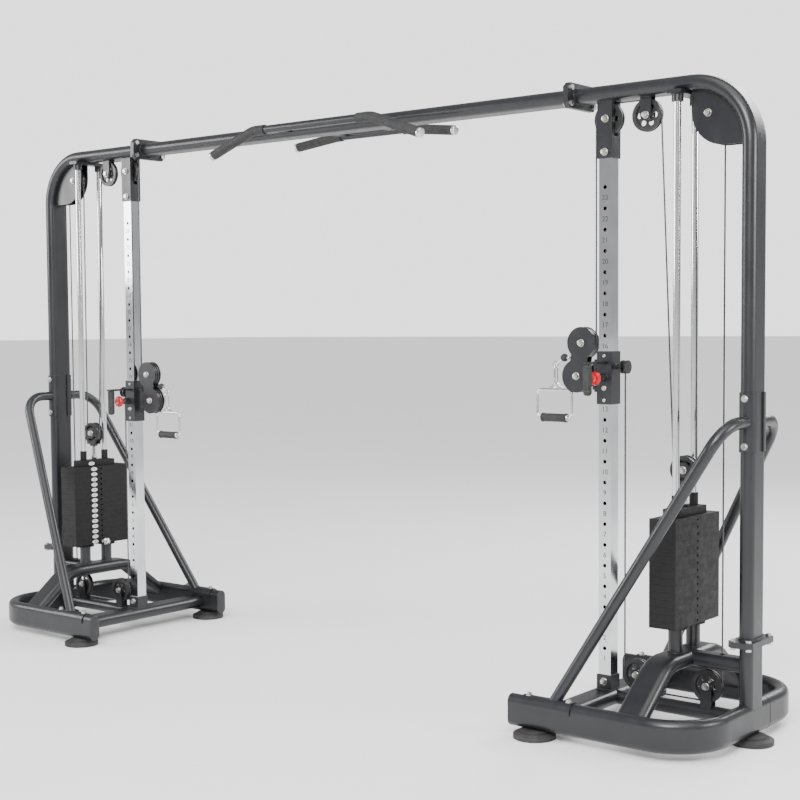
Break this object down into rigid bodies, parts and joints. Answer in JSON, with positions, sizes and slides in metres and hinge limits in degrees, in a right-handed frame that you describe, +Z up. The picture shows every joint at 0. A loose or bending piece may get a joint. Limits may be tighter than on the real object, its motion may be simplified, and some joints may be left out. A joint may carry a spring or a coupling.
{
  "type": "cable crossover machine",
  "caption": "Dual weight-stack cable crossover with sliding swivel pulley carriages, stirrup handles and an overhead pull-up crossbar.",
  "frame": {"origin": "on the floor midway between the two towers, in the plane of the crossbar", "axes": "+X along the crossbar to the right tower, -Y is the front, +Z is up"},
  "size_m": [3.834, 0.9256, 2.277],
  "materials": {
    "frame_paint": "gloss black-grey powder coat",
    "upright_steel": "chrome-plated square tube",
    "polished_rod": "polished",
    "plate_iron": "satin black",
    "rubber": "moulded",
    "foam_grip": "fine textured",
    "zinc_bolt": "zinc plated",
    "cable_jacket": "smooth black sheath",
    "pulley_plastic": "moulded",
    "plated_steel": "plated",
    "red_plastic": "moulded"
  },
  "bodies": {
    "frame": {"base_frame_left": "frame_paint", "base_frame_right": "frame_paint", "column_frame_left": "frame_paint", "column_frame_right": "frame_paint", "upright_left": "upright_steel", "upright_right": "upright_steel", "crossbar": "frame_paint", "pull_up_grips": "foam_grip", "handrails": "frame_paint", "guide_rods": "polished_rod", "rod_bumpers": "rubber", "rubber_feet": "rubber", "frame_bolts": "zinc_bolt", "fixed_cables": "cable_jacket"},
    "carriage_right": {"carriage_right": "frame_paint", "carriage_grip_right": "foam_grip", "front_cable_right": "cable_jacket", "anchor_cable_right": "cable_jacket"},
    "pop_pin_right": {"pop_pin_right": "red_plastic"},
    "swivel_right": {"swivel_housing_right": "frame_paint", "swivel_cable_right": "cable_jacket"},
    "swivel_upper_pulley_right": {"swivel_upper_pulley_right": "pulley_plastic"},
    "swivel_lower_pulley_right": {"swivel_lower_pulley_right": "pulley_plastic"},
    "cable_end_right": {"cable_end_right": "plated_steel"},
    "handle_right": {"handle_frame_right": "plated_steel"},
    "handle_grip_right": {"handle_grip_right": "foam_grip"},
    "stack_right": {"weight_plates_right": "plate_iron", "head_plate_right": "plate_iron", "stack_pulley_yoke_right": "frame_paint", "stack_cables_right": "cable_jacket"},
    "selector_pin_right": {"selector_pin_right": "plated_steel"},
    "stack_pulley_right": {"stack_pulley_right": "pulley_plastic"},
    "top_pulley_right": {"top_pulley_right": "pulley_plastic"},
    "hanging_pulley_right": {"hanging_pulley_right": "pulley_plastic"},
    "outer_pulley_right": {"outer_pulley_right": "pulley_plastic"},
    "base_outer_pulley_right": {"base_outer_pulley_right": "pulley_plastic"},
    "base_inner_pulley_right": {"base_inner_pulley_right": "pulley_plastic"},
    "carriage_left": {"carriage_left": "frame_paint", "carriage_grip_left": "foam_grip", "front_cable_left": "cable_jacket", "anchor_cable_left": "cable_jacket"},
    "pop_pin_left": {"pop_pin_left": "red_plastic"},
    "swivel_left": {"swivel_housing_left": "frame_paint", "swivel_cable_left": "cable_jacket"},
    "swivel_upper_pulley_left": {"swivel_upper_pulley_left": "pulley_plastic"},
    "swivel_lower_pulley_left": {"swivel_lower_pulley_left": "pulley_plastic"},
    "cable_end_left": {"cable_end_left": "plated_steel"},
    "handle_left": {"handle_frame_left": "plated_steel"},
    "handle_grip_left": {"handle_grip_left": "foam_grip"},
    "stack_left": {"weight_plates_left": "plate_iron", "head_plate_left": "plate_iron", "stack_pulley_yoke_left": "frame_paint", "stack_cables_left": "cable_jacket"},
    "selector_pin_left": {"selector_pin_left": "plated_steel"},
    "stack_pulley_left": {"stack_pulley_left": "pulley_plastic"},
    "top_pulley_left": {"top_pulley_left": "pulley_plastic"},
    "hanging_pulley_left": {"hanging_pulley_left": "pulley_plastic"},
    "outer_pulley_left": {"outer_pulley_left": "pulley_plastic"},
    "base_outer_pulley_left": {"base_outer_pulley_left": "pulley_plastic"},
    "base_inner_pulley_left": {"base_inner_pulley_left": "pulley_plastic"}
  },
  "joints": [
    {"name": "carriage_slide_right", "type": "slide", "parent": "frame", "child": "carriage_right", "axis": [0, 0, 1], "range_m": [-0.975, 0.675], "deforming": ["front_cable_right", "anchor_cable_right"]},
    {"name": "pop_pin_slide_right", "type": "slide", "parent": "carriage_right", "child": "pop_pin_right", "axis": [0, 1, 0], "range_m": [0, 0.012]},
    {"name": "swivel_right", "type": "hinge", "parent": "carriage_right", "child": "swivel_right", "pos_m": [1.23, 0, 1.229], "axis": [0, 0, 1], "range_deg": [-75, 75]},
    {"name": "swivel_upper_pulley_spin_right", "type": "hinge", "parent": "swivel_right", "child": "swivel_upper_pulley_right", "pos_m": [1.176, 0, 1.353], "axis": [0, 1, 0], "continuous": true},
    {"name": "swivel_lower_pulley_spin_right", "type": "hinge", "parent": "swivel_right", "child": "swivel_lower_pulley_right", "pos_m": [1.156, 0, 1.233], "axis": [0, 1, 0], "continuous": true},
    {"name": "handle_pull_right", "type": "slide", "parent": "swivel_right", "child": "cable_end_right", "axis": [-0.9397, 0, -0.342], "range_m": [0, 2.1]},
    {"name": "handle_swing_right", "type": "hinge", "parent": "cable_end_right", "child": "handle_right", "pos_m": [1.058, 0, 1.195], "axis": [0, 1, 0], "range_deg": [-2, 60]},
    {"name": "grip_spin_right", "type": "hinge", "parent": "handle_right", "child": "handle_grip_right", "pos_m": [1.052, 0, 1.078], "axis": [1, 0, 0], "continuous": true},
    {"name": "stack_lift_right", "type": "slide", "parent": "frame", "child": "stack_right", "axis": [0, 0, 1], "range_m": [0, 1.05], "deforming": ["stack_cables_right"]},
    {"name": "selector_pin_slide_right", "type": "slide", "parent": "stack_right", "child": "selector_pin_right", "axis": [-1, 0, 0], "range_m": [0, 0.075]},
    {"name": "stack_pulley_spin_right", "type": "hinge", "parent": "stack_right", "child": "stack_pulley_right", "pos_m": [1.587, 0, 0.915], "axis": [0, 1, 0], "continuous": true},
    {"name": "top_pulley_spin_right", "type": "hinge", "parent": "frame", "child": "top_pulley_right", "pos_m": [1.284, 0, 2.143], "axis": [0, 1, 0], "continuous": true},
    {"name": "hanging_pulley_spin_right", "type": "hinge", "parent": "frame", "child": "hanging_pulley_right", "pos_m": [1.437, 0, 2.143], "axis": [0, 1, 0], "continuous": true},
    {"name": "outer_pulley_spin_right", "type": "hinge", "parent": "frame", "child": "outer_pulley_right", "pos_m": [1.678, 0, 2.127], "axis": [0, 1, 0], "continuous": true},
    {"name": "base_outer_pulley_spin_right", "type": "hinge", "parent": "frame", "child": "base_outer_pulley_right", "pos_m": [1.678, 0, 0.172], "axis": [0, 1, 0], "continuous": true},
    {"name": "base_inner_pulley_spin_right", "type": "hinge", "parent": "frame", "child": "base_inner_pulley_right", "pos_m": [1.404, 0, 0.172], "axis": [0, 1, 0], "continuous": true},
    {"name": "carriage_slide_left", "type": "slide", "parent": "frame", "child": "carriage_left", "axis": [0, 0, 1], "range_m": [-0.825, 0.825], "deforming": ["front_cable_left", "anchor_cable_left"]},
    {"name": "pop_pin_slide_left", "type": "slide", "parent": "carriage_left", "child": "pop_pin_left", "axis": [0, 1, 0], "range_m": [0, 0.012]},
    {"name": "swivel_left", "type": "hinge", "parent": "carriage_left", "child": "swivel_left", "pos_m": [-1.23, 0, 1.079], "axis": [0, 0, 1], "range_deg": [-75, 75]},
    {"name": "swivel_upper_pulley_spin_left", "type": "hinge", "parent": "swivel_left", "child": "swivel_upper_pulley_left", "pos_m": [-1.176, 0, 1.203], "axis": [0, -1, 0], "continuous": true},
    {"name": "swivel_lower_pulley_spin_left", "type": "hinge", "parent": "swivel_left", "child": "swivel_lower_pulley_left", "pos_m": [-1.156, 0, 1.083], "axis": [0, -1, 0], "continuous": true},
    {"name": "handle_pull_left", "type": "slide", "parent": "swivel_left", "child": "cable_end_left", "axis": [0.9397, 0, -0.342], "range_m": [0, 2.1]},
    {"name": "handle_swing_left", "type": "hinge", "parent": "cable_end_left", "child": "handle_left", "pos_m": [-1.058, 0, 1.045], "axis": [0, -1, 0], "range_deg": [-2, 60]},
    {"name": "grip_spin_left", "type": "hinge", "parent": "handle_left", "child": "handle_grip_left", "pos_m": [-1.052, 0, 0.928], "axis": [1, 0, 0], "continuous": true},
    {"name": "stack_lift_left", "type": "slide", "parent": "frame", "child": "stack_left", "axis": [0, 0, 1], "range_m": [0, 1.05], "deforming": ["stack_cables_left"]},
    {"name": "selector_pin_slide_left", "type": "slide", "parent": "stack_left", "child": "selector_pin_left", "axis": [1, 0, 0], "range_m": [0, 0.075]},
    {"name": "stack_pulley_spin_left", "type": "hinge", "parent": "stack_left", "child": "stack_pulley_left", "pos_m": [-1.587, 0, 0.915], "axis": [0, -1, 0], "continuous": true},
    {"name": "top_pulley_spin_left", "type": "hinge", "parent": "frame", "child": "top_pulley_left", "pos_m": [-1.284, 0, 2.143], "axis": [0, -1, 0], "continuous": true},
    {"name": "hanging_pulley_spin_left", "type": "hinge", "parent": "frame", "child": "hanging_pulley_left", "pos_m": [-1.437, 0, 2.143], "axis": [0, -1, 0], "continuous": true},
    {"name": "outer_pulley_spin_left", "type": "hinge", "parent": "frame", "child": "outer_pulley_left", "pos_m": [-1.678, 0, 2.127], "axis": [0, -1, 0], "continuous": true},
    {"name": "base_outer_pulley_spin_left", "type": "hinge", "parent": "frame", "child": "base_outer_pulley_left", "pos_m": [-1.678, 0, 0.172], "axis": [0, -1, 0], "continuous": true},
    {"name": "base_inner_pulley_spin_left", "type": "hinge", "parent": "frame", "child": "base_inner_pulley_left", "pos_m": [-1.404, 0, 0.172], "axis": [0, -1, 0], "continuous": true}
  ],
  "couplings": [
    {"joint": "handle_pull_right", "follows": "stack_lift_right", "ratio": 2},
    {"joint": "stack_pulley_spin_right", "follows": "stack_lift_right", "rad_per_m": 22.727},
    {"joint": "top_pulley_spin_right", "follows": "stack_lift_right", "rad_per_m": -37.037},
    {"joint": "hanging_pulley_spin_right", "follows": "stack_lift_right", "rad_per_m": -37.037},
    {"joint": "swivel_upper_pulley_spin_right", "follows": "stack_lift_right", "rad_per_m": 37.037},
    {"joint": "outer_pulley_spin_right", "follows": "carriage_slide_right", "rad_per_m": 18.518},
    {"joint": "base_outer_pulley_spin_right", "follows": "carriage_slide_right", "rad_per_m": 18.518},
    {"joint": "base_inner_pulley_spin_right", "follows": "carriage_slide_right", "rad_per_m": 18.518},
    {"joint": "handle_pull_left", "follows": "stack_lift_left", "ratio": 2},
    {"joint": "stack_pulley_spin_left", "follows": "stack_lift_left", "rad_per_m": 22.727},
    {"joint": "top_pulley_spin_left", "follows": "stack_lift_left", "rad_per_m": -37.037},
    {"joint": "hanging_pulley_spin_left", "follows": "stack_lift_left", "rad_per_m": -37.037},
    {"joint": "swivel_upper_pulley_spin_left", "follows": "stack_lift_left", "rad_per_m": 37.037},
    {"joint": "outer_pulley_spin_left", "follows": "carriage_slide_left", "rad_per_m": 18.518},
    {"joint": "base_outer_pulley_spin_left", "follows": "carriage_slide_left", "rad_per_m": 18.518},
    {"joint": "base_inner_pulley_spin_left", "follows": "carriage_slide_left", "rad_per_m": 18.518}
  ]
}
